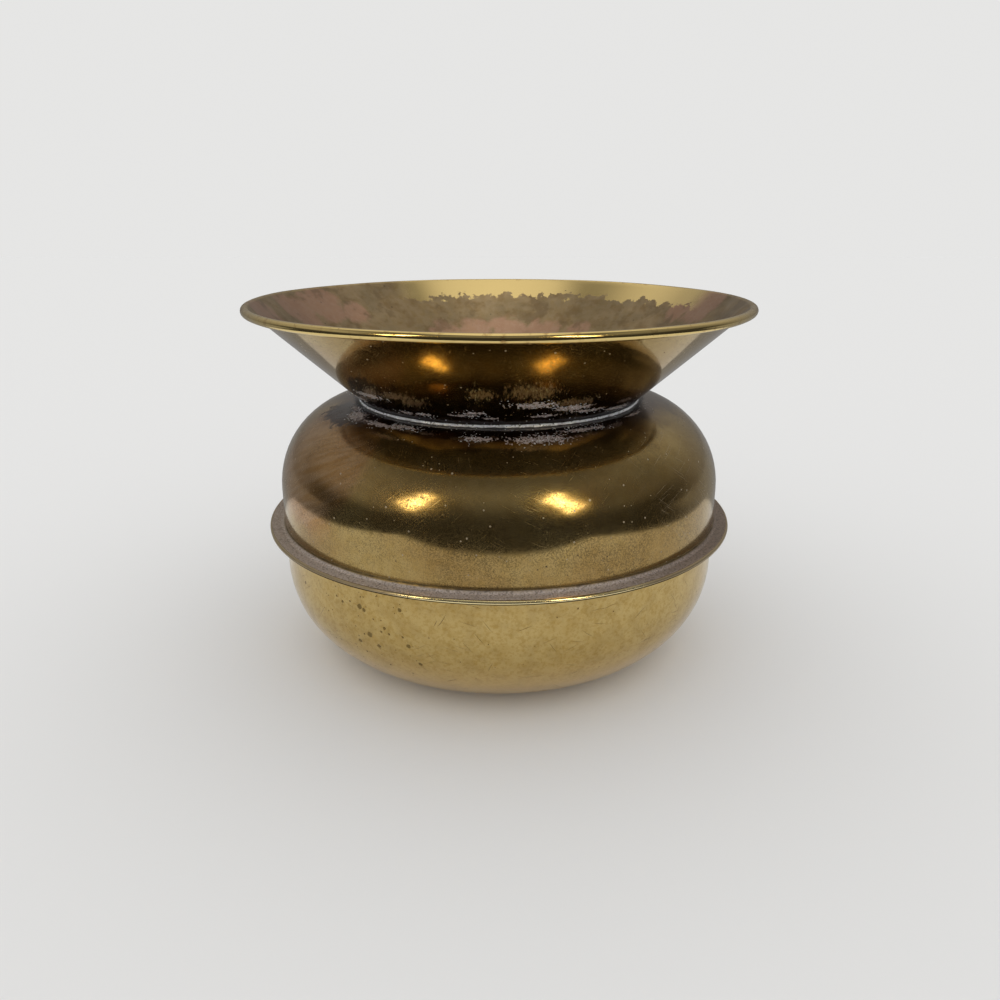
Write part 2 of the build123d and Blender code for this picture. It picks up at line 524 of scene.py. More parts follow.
def pitted(brass):
    """Tarnish pits: in patches all over, close ones at the left, and single ones."""
    patchy = brass.patches(*pitted_patch)
    for kind in pits_all_over:
        pits = brass.both(brass.specks(*kind, hollow=0.5), patchy)
        brass.lay(pits, (0.13, 0.08, 0.025), 0.45, 0.95, share=0.85)
    at_left = brass.near(pitted_left, size=pitted_left_edge)
    for kind in pits_at_left:
        pits = brass.both(brass.specks(*kind), at_left)
        brass.lay(pits, (0.14, 0.09, 0.03), 0.45, 0.95, share=0.8)
    eaten = brass.near(single_pits, size=single_pit_edge)
    brass.lay(eaten, (0.17, 0.115, 0.035), 0.45, 0.95, share=0.85)
    brass.raise_by(eaten, -single_pit_depth)


def scratched(brass):
    """Fine cuts at three slants all over, and single scratches at the front."""
    for seed, slant in ((11.0, 0.95), (12.0, 0.25), (13.0, -0.5)):
        cuts = brass.scratches(*fine_cuts, slant, seed)
        brass.lay(cuts, (0.20, 0.135, 0.05), 0.4, share=0.7)
        brass.raise_by(cuts, -cut_depth)
    strokes = brass.strokes(single_scratches)
    brass.lay(strokes, (0.13, 0.085, 0.035), 0.45, 0.8, share=0.75)
    brass.raise_by(strokes, -single_scratch_depth)


def lower_outside():
    """Polished brass, mottled, pitted and scratched, with painted light and reflection making the foot paler
    and pinker.
    """
    brass = spun_brass("lower_bowl_brass", (0.61, 0.455, 0.19), 0.12)
    brass.stain(brass.patches(*fine_mottle), (0.88, 0.84, 0.74))
    brass.stain(brass.patches(*blotch), (0.90, 0.89, 0.88), 0.2)
    # Painted light and reflection: the foot is painted paler, pinker and less rough, standing in for the lit
    # table it mirrors.
    foot = brass.fall(brass.height, *foot_light_heights)
    brass.stain((foot, brass.cloud(*foot_light_cloud)), (1.0, 0.92, 1.0), 0.25)
    brass.lay(foot, (0.90, 0.70, 0.38), share=0.65)
    pitted(brass)
    scratched(brass)
    return brass.done()


def lining(name, colour, roughness, film, film_metallic, film_seed, haze_seed):
    """The inside of a bowl: dull brass, dark film in patches, and haze over both."""
    brass = spun_brass(name, colour, roughness)
    brass.lay(brass.patches(lining_patch, 0.5, edge=0.2, seed=film_seed), film, 0.55, film_metallic)
    hazed(brass, 0.5, haze_seed)
    return brass.done()


spin_sheet = spinning_tree()
away_from_part = (0, 0, 1)
no_split = {"Split place": away_from_part, "Split size": (mm, mm, mm), "Split turn": 0.0}


def sheet_piece(name, face_line, outer_finish, inner_finish, split=no_split, loop=True):
    """Spin a sheet from the line of its outer face."""
    points, marks = sheet_section(face_line)
    values = {**split, "Outer finish": outer_finish, "Inner finish": inner_finish}
    return grown(name, points, spin_sheet, values, marks, loop)


flange_underside = seam_height - sheet / 2
ring_inner_radius = lower_wall_radius - base_corner_radius - base_ring_width
dome_radius = (ring_inner_radius ** 2 + base_rise ** 2) / (2 * base_rise)
dome_turn = asin(ring_inner_radius / dome_radius)
dome_middle = (0, base_rise - dome_radius)
lower_line = rounded_line(
    [
        (bend_centre_radius - fold_end_clearance, flange_underside),
        (lower_wall_radius, flange_underside),
        (lower_wall_radius, 0),
        (ring_inner_radius, 0),
    ],
    [lower_fillet_radius, base_corner_radius],
)
lower_line += arc_points(dome_middle, dome_radius, pi / 2 - dome_turn, dome_turn, dome_turn / dome_steps)
lower_inside = ("lower_bowl_lining", (0.34, 0.24, 0.11), 0.40, (0.12, 0.08, 0.045), 0.6, 0.0, 14.0)
lower_bowl = sheet_piece("lower_bowl_shell", lower_line, lower_outside(), lining(*lower_inside), loop=False)
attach(lower_bowl, "root")
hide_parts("lower_bowl")

# Upper bowl
# A second spinning: crown round the neck hole, quarter-round shoulder, upright wall, and a flange whose edge
# is folded under the lower bowl's flange and pressed tight, the belly seam. A speckled film has settled on
# the polish and dust on the flange, and soldering has blackened it near the neck.
spigot_radius = 42.4 * mm
neck_clearance = 0.05 * mm
crown_width = 0.7 * mm
upper_wall_height = 11.4 * mm
upper_fillet_radius = 1.5 * mm
fold_width = 2.8 * mm
fold_step = radians(12)
split_width = 0.25 * mm
split_depth = 2.0 * mm
split_azimuth = radians(-108.4)
split_box = 4 * mm

neck_hole_radius = spigot_radius + neck_clearance
upper_wall_radius = lower_wall_radius + wall_step
shoulder_radius = upper_wall_radius - neck_hole_radius - crown_width
bend_radius = seam_thickness / 2
flange_top = seam_height + bend_radius
seam_radius = upper_wall_radius + seam_width
crown_height = flange_top + upper_wall_height + shoulder_radius
upper_line = rounded_line(
    [
        (neck_hole_radius, crown_height),
        (upper_wall_radius, crown_height),
        (upper_wall_radius, flange_top),
        (bend_centre_radius, flange_top),
    ],
    [shoulder_radius, upper_fillet_radius],
)
upper_line += arc_points((bend_centre_radius, seam_height), bend_radius, pi / 2, -pi, fold_step)
upper_line.append(Vector((seam_radius - fold_width, seam_height - bend_radius)))

# Smears round the neck, by turn in degrees and reach in millimetres, then half their size each way.
crown_smears = (
    (-57, 5.6, 5, 2.4), (-42, 6.4, 9, 1.1), (-33, 5.2, 5, 0.9), (-6, 8.2, 5, 1.1), (12, 8.8, 9, 1.7),
    (28, 5.6, 8, 0.9), (57, 3.9, 6, 0.6), (-66, 3.6, 5, 1.2), (118, 6, 10, 1.2), (160, 5, 12, 1.0),
    (-140, 6, 9, 1.3),
)
smear_grain = 1.0 * mm
smear_wander_share = 3.6
smear_edge_shares = (0.75, 1.05)
smudge_grain = 0.45 * mm
neck_haze_cloud = 9 * mm
neck_black_cloud = 3 * mm
neck_fade_share = 0.5


def neck_places(tree, place):
    """A point's turn from the front in degrees, and its reach from the neck in millimetres."""
    across, depth, height = parted(tree, place)
    turned = calculate(tree, "ARCTAN2", across, calculate(tree, "MULTIPLY", depth, -1.0))
    radius = calculate_vector(tree, "LENGTH", combined(tree, across, depth), out="Value")
    neck = (neck_hole_radius, crown_height, 0)
    away = calculate_vector(tree, "DISTANCE", combined(tree, radius, height), neck, out="Value")
    return calculate(tree, "DEGREES", turned), calculate(tree, "MULTIPLY", away, 1 / mm)


def smeared(tree, place, smears):
    """Mask of ragged smears round the neck."""
    turned, reach = neck_places(tree, place)
    noise = feed(tree, "TexNoise", {"Vector": place, "Scale": 1 / smear_grain, "Detail": 5.0})
    wander = calculate(tree, "MULTIPLY_ADD", noise, smear_wander_share, -smear_wander_share / 2)
    mask = 0.0
    for turn, out, half_turn, half_width in smears:
        aside = calculate(tree, "MULTIPLY_ADD", turned, 1 / half_turn, -turn / half_turn)
        outward = calculate(tree, "MULTIPLY_ADD", reach, 1 / half_width, -out / half_width)
        length = calculate_vector(tree, "LENGTH", combined(tree, aside, outward), out="Value")
        spot = smooth_step(tree, calculate(tree, "ADD", length, wander), *smear_edge_shares, 1.0, 0.0)
        mask = calculate(tree, "MAXIMUM", mask, spot)
    return mask


def round_neck(metal, width, full_share, size, seed):
    """Mask of a ragged band round the neck, about as wide as given."""
    reach = neck_places(metal.tree, metal.place)[1]
    wander = metal.maths("MULTIPLY", metal.cloud(size, seed=seed, detail=5.0), -2 * width / mm)
    ragged = metal.maths("ADD", reach, wander)
    return metal.fall(ragged, -full_share * width / mm, neck_fade_share * width / mm)


def blackened(metal, band, haze, seed):
    """Burnt flux: a black band against the solder, and a purple-brown haze beyond it."""
    metal.stain(round_neck(metal, haze, 0.6, neck_haze_cloud, seed), (0.22, 0.16, 0.165), 0.16)
    black = round_neck(metal, band, 0.1, neck_black_cloud, seed + 1)
    metal.lay(black, (0.018, 0.012, 0.014), 0.30, 0.5, share=0.93, gloss=0.25)


def smudged(metal, smears, seed):
    """Greyish flux and solder dust smeared on the sheet, broken up finely."""
    mask = smeared(metal.tree, metal.place, smears)
    metal.lay(mask, (0.055, 0.036, 0.040), 0.5, 0.4, share=0.5)
    broken = metal.patches(smudge_grain, 0.6, edge=0.12, seed=seed)
    metal.lay((mask, broken), (0.60, 0.51, 0.48), 0.65, 0.1, share=0.78)


upper_cloud = (30 * mm, 0.5, 0.3, 11.0)
brushed_places = (((-52, -36, 70), 24),)
brushed_edge = 14 * mm
brush_mark = 2.0 * mm
hair_places = (((50, -40, 67), 22),)
hair_edge = 8 * mm
pale_hairs = (9 * mm, 0.12 * mm, 0.6)
low_wall_heights = (43 * mm, 50 * mm, 3 * mm)
wall_pits = (1.8 * mm, 0.26 * mm, 0.5)
soot_places = (((-45.5, -17, 78.2), 8), ((-42.5, -24, 78.6), 8), ((-38, -30, 79), 5))
soot_edge = 2.5 * mm
crown_black_band = 2.2 * mm
crown_haze = 11 * mm


def upper_outside():
    """Polished brass, brushed at the left, filmed over, sooty at the neck, with a dusty flange under painted
    shade, and a painted highlight and shadow on the folded edge.
    """
    brass = spun_brass("upper_bowl_brass", (0.52, 0.385, 0.16), 0.09)
    brass.stain(brass.patches(*upper_cloud), (0.80, 0.73, 0.68))
    at_left = brass.near(brushed_places, size=brushed_edge)
    brass.stain(at_left, (1.0, 0.82, 0.80))
    brushed = brass.cover(brass.cloud(brush_mark, seed=12.0, drawn=7.0, slant=-0.55), 0.45, 0.30)
    brass.lay((at_left, brushed), (0.62, 0.44, 0.28), 0.30, share=0.45)
    hazed(brass, 0.38, 13.0)
    at_right = brass.near(hair_places, ragged=0.4, size=hair_edge)
    for seed, slant in ((14.0, 0.75), (15.0, 0.95), (16.0, -0.4)):
        hairs = brass.scratches(*pale_hairs, slant, seed)
        brass.lay((at_right, hairs), dust, 0.5, 0.3, share=0.35)
    low_wall = brass.between(brass.height, *low_wall_heights)
    pits = brass.specks(*wall_pits, 17.0, hollow=0.3)
    brass.lay((pits, low_wall), (0.16, 0.10, 0.045), 0.45, 0.6, share=0.8)
    soot = brass.near(soot_places, ragged=0.9, size=soot_edge)
    brass.lay(soot, (0.045, 0.034, 0.038), 0.5, 0.5, share=0.9)
    blackened(brass, crown_black_band, crown_haze, 18.0)
    smudged(brass, crown_smears, 19.0)
    dusty_and_shaded_flange(brass)
    folded_edge(brass)
    return brass.done()


flange_start = (0.10 * mm, 0.35 * mm)
flange_rise = (-0.4 * mm, 0.9 * mm, 0.2 * mm)
pale_dust_grain = (0.5 * mm, 0.42, 0.1, 20.0)
dark_dust_grain = (0.6 * mm, 0.38, 0.1, 21.0)
flange_shade_depths = (-58 * mm, -25 * mm)
# Depths of the painted shade on the flange, then the places where it darkens towards the right.
flange_right_places = (20 * mm, 55 * mm)
crease_reach = (-1.0 * mm, 0.6 * mm, 0.2 * mm)
crease_rise = (0.7 * mm, 1.3 * mm, 0.4 * mm)
crease_cloud = (2.5 * mm, 22.0)
hem_width = 0.58 * mm
hem_fade = 0.12 * mm
# Turns of the painted highlight at the front of the folded edge.
hem_highlight_turns = (radians(-19), radians(30), radians(6))
# Reach and drops of the painted shadow under the folded edge.
hem_shadow_start = (1.6 * mm, 1.8 * mm)
hem_shadow_drop = 0.10 * mm
hem_shadow_full_drop = 0.18 * mm


def dusty_and_shaded_flange(brass):
    """Grey dust on the flange, painted shade darkening it away from the front, darker towards the right, and
    dirt and painted shade in the crease at the wall.
    """
    flange = brass.both(
        brass.beyond(brass.radius, upper_wall_radius, *flange_start),
        brass.fall(brass.radius, seam_radius - hem_width - hem_fade, seam_radius - hem_width),
        brass.between(brass.height, *flange_rise, flange_top),
    )
    brass.lay(flange, (0.44, 0.37, 0.32), 0.50, 0.35, share=0.92)
    pale = brass.patches(*pale_dust_grain)
    brass.lay((flange, pale), (0.70, 0.63, 0.60), 0.55, 0.2, share=0.45)
    dark = brass.patches(*dark_dust_grain)
    brass.lay((flange, dark), (0.06, 0.045, 0.04), 0.6, 0.4, share=0.5)
    # Painted shade: the dusty flange is darkened away from its front, where the light falls. The next stain
    # darkens it towards the right.
    brass.stain((flange, brass.ramp(brass.depth, *flange_shade_depths)), (0.72, 0.68, 0.62))
    brass.stain((flange, brass.ramp(brass.across, *flange_right_places)), (0.64, 0.60, 0.58))
    # Dirt and painted shade: a dark line painted in the crease where the wall meets the flange.
    crease = brass.both(
        brass.between(brass.radius, *crease_reach, upper_wall_radius),
        brass.between(brass.height, *crease_rise, flange_top),
        brass.cloud(*crease_cloud),
    )
    brass.lay(crease, dirt_and_shade, 0.6, 0.5, share=1.5)


def folded_edge(brass):
    """The folded edge: a painted highlight at the front, duller elsewhere, and a painted shadow underneath.
    """
    hem = brass.beyond(brass.radius, seam_radius - hem_width, 0.0, hem_fade)
    brass.lay(hem, (0.42, 0.33, 0.20), 0.35, 0.9)
    # Painted highlight: the folded edge is painted bright gold at the front only.
    front = brass.between(brass.turned, *hem_highlight_turns)
    brass.lay((hem, front), (1.0, 0.85, 0.47), 0.14, 1.0)
    # Painted shadow: a near-black band on the lower face of the fold, where the gap under the folded edge is
    # in shade.
    under = brass.both(
        brass.beyond(brass.radius, upper_wall_radius, *hem_shadow_start),
        brass.fall(brass.height, seam_height - hem_shadow_full_drop, seam_height - hem_shadow_drop),
    )
    brass.lay(under, (0.022, 0.014, 0.006), 0.8, 0.0, share=0.96, gloss=0.0)


split_middle = seam_radius - split_depth + split_box / 2
split = {
    "Split place": (split_middle * cos(split_azimuth), split_middle * sin(split_azimuth), seam_height),
    "Split size": (split_box, split_width, split_box),
    "Split turn": split_azimuth,
}
upper_inside = ("upper_bowl_lining", (0.30, 0.21, 0.10), 0.42, (0.11, 0.075, 0.04), 0.7, 4.0, 23.0)
upper_bowl = sheet_piece("upper_bowl_shell", upper_line, upper_outside(), lining(*upper_inside), split)
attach(upper_bowl, "root")
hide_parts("upper_bowl")

# Mouth funnel
# The third spinning: a wide cone on a short straight foot that stands in the neck hole, its edge rolled
# outward and under round a steel wire. Outside it keeps its polish but for the blackened neck. Inside it is
# dull and stained olive, brown and pink, with one bright strip near the rim at the back.
mouth_radius = 75.9 * mm
overall_height = 108.7 * mm
wire_diameter = 1.6 * mm
wire_seat = 0.01 * mm
roll_open_turn = radians(58)
roll_step = radians(10)
spigot_length = 3.0 * mm
cone_foot_rise = 0.25 * mm
foot_bend_radius = 0.5 * mm

roll_inner_radius = wire_diameter / 2 + wire_seat
roll_radius = roll_inner_radius + sheet
wire_centre = Vector((mouth_radius - roll_radius, overall_height - roll_radius))
cone_foot = Vector((spigot_radius, crown_height + cone_foot_rise))
to_wire = wire_centre - cone_foot
cone_slope = atan2(to_wire.y, to_wire.x) + asin(roll_inner_radius / to_wire.length)
roll_start = pi / 2 + cone_slope + roll_open_turn
roll_line = arc_points(wire_centre, roll_inner_radius, roll_start, 2 * pi - roll_open_turn, roll_step)
funnel_line = roll_line[:-1] + rounded_line(
    [roll_line[-1], cone_foot, (spigot_radius, crown_height - spigot_length)], [foot_bend_radius]
)

cone_smears = (
    (-46, 10.5, 7, 0.9), (-34, 4.3, 4, 0.6), (-27, 4.6, 4, 0.5), (-12, 5.6, 4, 0.6), (-8, 7.0, 4, 0.6),
    (-3, 4.4, 3, 0.5), (11, 11.0, 7, 1.5), (15, 5.2, 5, 0.6), (24, 8.4, 6, 1.3), (31, 6.0, 6, 0.8),
    (47, 4.2, 7, 0.9), (-60, 6.0, 6, 1.0), (100, 6, 8, 1.0), (150, 7, 9, 1.2), (-120, 6, 10, 1.0),
    (-170, 5, 8, 0.9),
)
cone_cloud = (18 * mm, 0.5, 0.3, 31.0)
cone_black_band = 2.6 * mm
cone_haze = 9 * mm
mouth_cloud = (13 * mm, 0.5, 0.2, 35.0, 5.0)
mouth_blotch = (5 * mm, 0.4, 0.16, 36.0, 5.0)
mouth_side_places = (40 * mm, 62 * mm)
umber_patch = (8 * mm, 0.28, 0.1, 39.0, 5.0)
pink_places = (
    ((-69, -6, 106), 10), ((-57, -32, 104), 8), ((-64, 18, 104), 9), ((-60, 33, 104), 9),
    ((-50, 40, 100), 6), ((66, 19, 104), 10), ((60, 28, 104), 7), ((-20, 53, 91), 7), ((-8, 55, 91), 8),
    ((4, 56, 91), 8), ((16, 53, 90), 8), ((28, 48, 90), 6),
)
pink_edge = 6 * mm
pink_grain = (1.2 * mm, 0.4, 0.06, 38.0)
wiped_middle = radians(70)
wiped_half_turns = (radians(54), radians(44))
wiped_radii = (60.6 * mm, 61.1 * mm)
fray_size = 5 * mm
fray_length = 14 * mm
mouth_specks = (3.2 * mm, 0.4 * mm, 0.3)
bright_roll_radii = (73.5 * mm, 73.9 * mm)
# Depths over which the painted highlight on the roll fades from the front.
roll_highlight_depths = (-60 * mm, -10 * mm)
worn_patch = (2.5 * mm, 0.2, 0.2, 42.0)


def funnel_outside():
    """Bright polished brass under a thin haze, blackened and smeared towards the neck."""
    brass = spun_brass("funnel_brass_outside", (0.49, 0.355, 0.13), 0.05)
    brass.stain(brass.patches(*cone_cloud), (0.82, 0.76, 0.72))
    hazed(brass, 0.20, 32.0)
    blackened(brass, cone_black_band, cone_haze, 33.0)
    smudged(brass, cone_smears, 34.0)
    return brass.done()


def funnel_inside():
    """Dull olive brass, stained pink and umber, with a bright strip at the back and a bright roll, brighter
    at its front as a painted highlight.
    """
    brass = spun_brass("funnel_brass_mouth", (0.44, 0.335, 0.195), 0.34)
    brass.stain(brass.patches(*mouth_cloud), (0.80, 0.82, 0.84))
    brass.stain(brass.patches(*mouth_blotch), (0.84, 0.80, 0.74))
    pink = brass.near(pink_places, ragged=0.8, size=pink_edge, seed=37.0)
    brass.lay(pink, (0.56, 0.32, 0.22), 0.36, share=0.58)
    mottled = brass.both(pink, brass.patches(*pink_grain))
    brass.lay(mottled, (0.52, 0.36, 0.26), 0.4, share=0.3)
    umber = brass.patches(*umber_patch)
    brass.lay(umber, (0.22, 0.155, 0.085), 0.4, share=0.55)
    aside = brass.maths("ABSOLUTE", brass.across)
    brass.stain(brass.ramp(aside, *mouth_side_places), (0.76, 0.75, 0.76))
    brass.lay(wiped_strip(brass), (0.72, 0.55, 0.23), 0.13, 1.0, share=0.95)
    brass.lay(brass.specks(*mouth_specks, 41.0), dirt_and_shade, 0.6, 0.5, share=0.5)
    on_roll = brass.ramp(brass.radius, *bright_roll_radii)
    # Painted highlight: the roll is painted bright clean brass at its front, and only a fifth as much
    # elsewhere.
    front = brass.ramp(brass.depth, *roll_highlight_depths, 1.0, 0.2)
    brass.lay((on_roll, front), (0.80, 0.61, 0.25), 0.10, 1.0)
    worn = brass.both(on_roll, brass.patches(*worn_patch))
    brass.stain(worn, (0.55, 0.45, 0.40), 0.3)
    return brass.done()


def wiped_strip(brass):
    """Mask of the strip near the rim at the back, with its lower edge frayed."""
    outward = brass.vector("NORMALIZE", brass.flat)
    middle = (cos(wiped_middle), sin(wiped_middle), 0)
    facing = brass.vector("DOT_PRODUCT", outward, middle, out="Value")
    frayed = brass.cloud(fray_size, seed=40.0, detail=5.0, rough=0.65)
    from_axis = brass.maths("SUBTRACT", brass.radius, brass.maths("MULTIPLY", frayed, fray_length))
    strip = brass.ramp(facing, *(cos(turn) for turn in wiped_half_turns))
    return brass.both(strip, brass.ramp(from_axis, *wiped_radii))


mouth_funnel = sheet_piece("mouth_funnel_shell", funnel_line, funnel_outside(), funnel_inside())
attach(mouth_funnel, "root")
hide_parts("mouth_funnel")

# Rim wire
# Drawn steel wire, bent to a ring and laid in before the funnel's edge was rolled over it. It keeps its CAD
# shape, and gets a dull steel finish with some rust.
rust_patch = (5 * mm, 0.3, 0.2)
draw_mark = 0.4 * mm
draw_mark_height = 0.002 * mm
wire_steel = Finish("rim_wire_steel", (0.42, 0.41, 0.40), 0.38)
wire_steel.lay(wire_steel.patches(*rust_patch), (0.24, 0.15, 0.09), 0.6, 0.6)
wire_steel.raise_by(wire_steel.cloud(draw_mark), draw_mark_height)
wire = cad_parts["rim_wire"]
wire.data.materials.clear()
wire.data.materials.append(wire_steel.done())

# Neck solder
# Soft solder run into the groove between funnel and upper bowl, then wiped, which left an uneven bead, and
# thin flakes stuck to both sheets. It is dull blue-grey, and burnt flux darkens the bead's edges.
solder_leg = 1.25 * mm
solder_root = 0.1 * mm
heel_feather = (-0.02 * mm, 0.03 * mm)
toe_drop = 0.03 * mm
toe_sink = 0.05 * mm
bead_hollow_share = 0.12
bead_steps = 6
bead_steps_round = 420
bead_wander_share = 0.9
bead_wander_per_metre = 160.0
burnt_edge_shares = (0.42, 0.92)
solder_mottle = (1.6 * mm, 0.45, 0.2)
flux_speck = (0.6 * mm, 0.25, 0.1, 2.0)
burnt_cloud = (1.4 * mm, 5.0)
solder_bump = 0.8 * mm
solder_bump_height = 0.06 * mm


def solder_look(name):
    """Dull blue-grey solder, mottled, with specks of burnt flux."""
    metal = Finish(name, (0.90, 0.93, 0.95), 0.36, 0.5)
    metal.lay(metal.patches(*solder_mottle), (0.55, 0.56, 0.58), 0.5, share=0.7)
    flux = metal.patches(*flux_speck)
    metal.lay(flux, (0.06, 0.05, 0.05), 0.6, 0.6, share=0.85)
    metal.raise_by(metal.cloud(solder_bump), solder_bump_height)
    return metal


def bead_look():
    """Solder, blackened along both edges of the bead."""
    metal = solder_look("solder_bead")
    ragged = metal.maths("MULTIPLY", metal.cloud(*burnt_cloud), 0.5)
    clean = metal.between(metal.maths("ADD", metal.along, ragged), *burnt_edge_shares, 0.10)
    metal.lay(metal.maths("SUBTRACT", 1.0, clean), (0.022, 0.017, 0.018), 0.45, 0.6, share=0.93)
    return metal.done()


def bead_tree(finish):
    """Run a fillet of solder round the neck, its size wandering as it flowed."""
    tree, given = new_tree("solder_bead", {})
    inputs = {"Resolution": bead_steps_round, "Radius": neck_hole_radius}
    path = shape(tree, "CurvePrimitiveCircle", inputs)
    raised = shape(tree, "Transform", {"Geometry": path, "Translation": (0, 0, crown_height)})
    upright = shape(tree, "SetCurveNormal", {"Curve": raised}, mode="Z_UP")
    place = shape(tree, "InputPosition")
    noise = feed(tree, "TexNoise", {"Vector": place, "Scale": bead_wander_per_metre, "Detail": 3.0})
    spread = calculate(tree, "SUBTRACT", noise, 0.5)
    size = calculate(tree, "MULTIPLY_ADD", spread, bead_wander_share, 1.0)
    section = shape(tree, "MeshToCurve", {"Mesh": given["Section"]})
    inputs = {"Curve": upright, "Profile Curve": section, "Scale": size}
    bead = shape(tree, "CurveToMesh", inputs)
    finish_piece(tree, uneven(tree, bead), finish)
    return tree


along_cone = Vector((cos(cone_slope), sin(cone_slope)))
heel = along_cone * solder_leg
toe = Vector((solder_leg, -toe_drop))
hollow = (heel + toe) / 2 * bead_hollow_share
bead_line = [Vector((-solder_root, 0)), heel + Vector(heel_feather)]
for step in range(bead_steps + 1):
    part = step / bead_steps
    bead_line.append(heel.lerp(toe, part) - hollow * sin(pi * part))
bead_line.append(toe + Vector((0, -toe_sink)))
bead_marks = {"along": [i / (len(bead_line) - 1) for i in range(len(bead_line))]}
flake_finish = solder_look("solder_flakes").done()
solder_bead = grown("neck_solder_bead", bead_line, bead_tree(bead_look()), {}, bead_marks)
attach(solder_bead, "root")
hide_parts("neck_solder")

flake_size = (0.42 * mm, 0.30 * mm, 0.09 * mm)
flake_least_shares = (0.5, 0.4, 0.6)
flake_most_shares = (2.0, 1.3, 1.5)
flake_turns = (0.1, 0.1, 2 * pi)
flakes_per_square_metre = 2.4e6
flake_steps_round = 120
sparse_reaches = (2.0, 8.0)
sparse_share = 0.05
crown_strip_points = 10
cone_strip_from = 15 * mm
cone_strip_to = 1.0 * mm


def flake_tree(name, smears, seed, finish):
    """Scatter thin flakes over a strip of sheet, thick in the smears and sparse between them."""
    tree, given = new_tree(name, {})
    ground = spin(tree, given["Section"], flake_steps_round)
    place = shape(tree, "InputPosition")
    sparse = smooth_step(tree, neck_places(tree, place)[1], *sparse_reaches, sparse_share, 0.0)
    share = calculate(tree, "MAXIMUM", smeared(tree, place, smears), sparse)
    density = calculate(tree, "MULTIPLY", share, flakes_per_square_metre)
    inputs = {"Mesh": ground, "Density": density, "Seed": seed}
    points = make_node(tree, "GeometryNodeDistributePointsOnFaces", inputs).outputs
    blob = shape(tree, "MeshIcoSphere", {"Radius": 0.5, "Subdivisions": 1})
    flake = shape(tree, "Transform", {"Geometry": blob, "Scale": flake_size})
    drawn = []
    for least, most in ((flake_least_shares, flake_most_shares), ((0, 0, 0), flake_turns)):
        inputs = {0: least, 1: most, "Seed": seed}
        drawn.append(make_node(tree, "FunctionNodeRandomValue", inputs, data_type="FLOAT_VECTOR").outputs[0])
    scale, turn = drawn
    inputs = {"Rotation": points["Rotation"], "Rotate By": turn}
    laid = make_node(tree, "FunctionNodeRotateRotation", inputs, rotation_space="LOCAL").outputs[0]
    inputs = {"Points": points["Points"], "Instance": flake, "Rotation": laid, "Scale": scale}
    flakes = shape(tree, "InstanceOnPoints", inputs)
    real = shape(tree, "RealizeInstances", {"Geometry": flakes})
    finish_piece(tree, uneven(tree, real), finish)
    return tree


cone_strip = [cone_foot + along_cone * reach for reach in (cone_strip_from, cone_strip_to)]
strips = {
    "solder_flakes_crown": (crown_smears, in_short_runs(upper_line)[:crown_strip_points]),
    "solder_flakes_cone": (cone_smears, in_short_runs(cone_strip)),
}
for seed, (name, (smears, strip)) in enumerate(strips.items()):
    flakes = grown(name, strip, flake_tree(name, smears, seed, flake_finish), {}, {}, loop=False)
    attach(flakes, "root")

# Studio
# A plain pale table and soft even light from all round. What the polished brass mirrors is a pale patch of
# that table, flared at its front corners, a dark front side of the room with two warm lamps in it, pale walls
# at the left and back, and a bright ceiling. The camera stands where the photograph was taken.
table_colour = (0.79, 0.788, 0.78)
table_half_width = 1600 * mm
table_front = -1200 * mm
table_back = 2200 * mm
patch_middle = (-10 * mm, -52 * mm, 0)
patch_half_width = 235 * mm
patch_half_depth = 152 * mm
patch_straight = 85 * mm
patch_flare_share = 0.40
patch_flare_depths = (-150 * mm, -60 * mm)
patch_fade = (-4 * mm, 6 * mm)
dim_depths = (-50 * mm, 120 * mm)
dim_lights = (0.04, 0.30)
dome_light = 1.0


def table_finish():
    """Pale and matt, but to mirrors dim outside the pale patch."""
    top = Finish("pale_table", table_colour, 0.9, 0.0)
    top.coats["Specular IOR Level"] = 0.0
    material = top.done()
    off_middle = top.vector("ABSOLUTE", top.vector("SUBTRACT", top.place, patch_middle))
    aside, deep = parted(top.tree, off_middle)[:2]
    past_straight = top.maths("MAXIMUM", top.maths("SUBTRACT", aside, patch_straight))
    flare = top.both(past_straight, patch_flare_share, top.fall(top.depth, *patch_flare_depths))
    past_side = top.maths("SUBTRACT", aside, patch_half_width)
    past_front = top.maths("SUBTRACT", top.maths("SUBTRACT", deep, patch_half_depth), flare)
    off_patch = top.ramp(top.maths("MAXIMUM", past_side, past_front), *patch_fade)
    mirrored = feed(top.tree, "LightPath", out="Is Glossy Ray")
    dim = feed(top.tree, "Emission", {"Strength": top.ramp(top.depth, *dim_depths, *dim_lights)})
    inputs = {0: top.both(mirrored, off_patch), 1: top.shader.outputs[0], 2: dim}
    seen = feed(top.tree, "MixShader", inputs)
    top.tree.links.new(seen, top.tree.nodes["Material Output"].inputs["Surface"])
    return material


table_corners = [(-table_half_width, table_front, 0), (table_half_width, table_front, 0)]
table_corners += [(table_half_width, table_back, 0), (-table_half_width, table_back, 0)]
table_mesh = bpy.data.meshes.new("table")
table_mesh.from_pydata(table_corners, [], [(0, 1, 2, 3)])
table = bpy.data.objects.new("table", table_mesh)
bpy.context.scene.collection.objects.link(table)
table.data.materials.append(table_finish())

